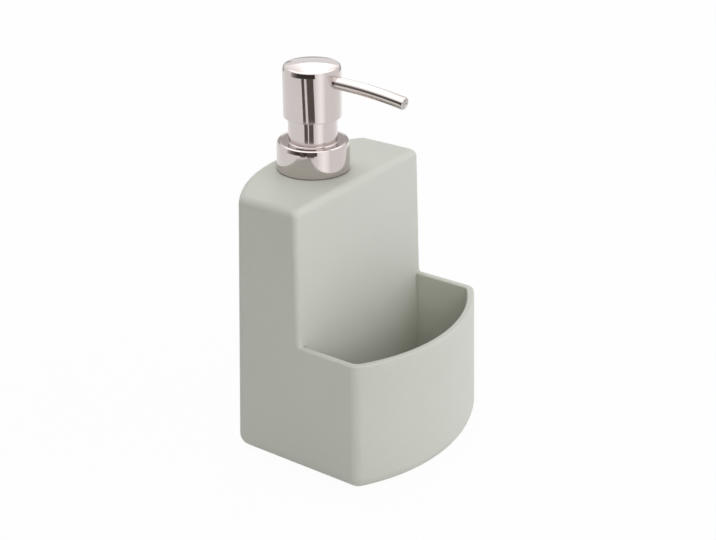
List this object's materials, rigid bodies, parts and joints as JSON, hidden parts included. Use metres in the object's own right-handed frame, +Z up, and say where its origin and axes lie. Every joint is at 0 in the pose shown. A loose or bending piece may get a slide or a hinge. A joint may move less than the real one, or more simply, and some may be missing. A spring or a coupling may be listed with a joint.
{
  "type": "soap pump caddy",
  "caption": "Matt ceramic caddy: a soap tower with a plated screw-on lotion pump at the back, and an open basket for a sponge in front.",
  "frame": {"origin": "centre of the underside, half way between the crests of the two bowed ends", "axes": "+Z up along the tower and the pump, -Y towards the front with the basket and the nozzle, +X to the right seen from the front"},
  "size_m": [0.1058, 0.1052, 0.185],
  "materials": {
    "ceramic": "matt, soft to the touch",
    "plated_metal": "polished plating with a faint warm tint",
    "white_plastic": "moulded, satin",
    "tube_plastic": "translucent extruded tube",
    "piston_plastic": "soft moulded plastic",
    "glue": "cured silicone",
    "gasket": "matt",
    "steel": "bright stainless"
  },
  "bodies": {
    "caddy": {"caddy_body": "ceramic", "neck_glue": "glue", "neck_insert": "white_plastic"},
    "gasket": {"neck_gasket": "gasket"},
    "pump": {"pump_housing": "white_plastic", "stem_guide": "white_plastic", "ball_cage": "white_plastic", "dip_tube": "tube_plastic", "return_spring": "steel"},
    "collar": {"collar_nut": "white_plastic", "collar_shell": "plated_metal"},
    "piston": {"piston": "piston_plastic"},
    "head": {"stem": "white_plastic", "head_core": "white_plastic", "head_shell": "plated_metal", "nozzle_tube": "plated_metal"},
    "inlet_valve": {"inlet_ball": "steel"},
    "outlet_valve": {"outlet_ball": "steel"}
  },
  "joints": [
    {"name": "pump_lift", "type": "slide", "parent": "caddy", "child": "gasket", "axis": [0, 0, 1], "range_m": [0, 0.145]},
    {"name": "thread_rise", "type": "slide", "parent": "gasket", "child": "pump", "axis": [0, 0, 1], "range_m": [0, 0.00635]},
    {"name": "collar_turn", "type": "hinge", "parent": "pump", "child": "collar", "pos_m": [0, 0.02645, 0.14], "axis": [0, 0, 1], "range_deg": [0, 540]},
    {"name": "pump_press", "type": "slide", "parent": "pump", "child": "piston", "axis": [0, 0, -1], "range_m": [0, 0.011], "stiffness_N_per_m": 900, "springref_m": -0.006, "deforming": ["return_spring"]},
    {"name": "head_swivel", "type": "hinge", "parent": "piston", "child": "head", "pos_m": [0, 0.02645, 0.17], "axis": [0, 0, 1], "continuous": true},
    {"name": "inlet_lift", "type": "slide", "parent": "pump", "child": "inlet_valve", "axis": [0, 0, 1], "range_m": [0, 0.0015]},
    {"name": "outlet_lift", "type": "slide", "parent": "head", "child": "outlet_valve", "axis": [0, 0, 1], "range_m": [0, 0.0015]}
  ],
  "couplings": [
    {"joint": "collar_turn", "follows": "thread_rise", "rad_per_m": 1484.2}
  ]
}
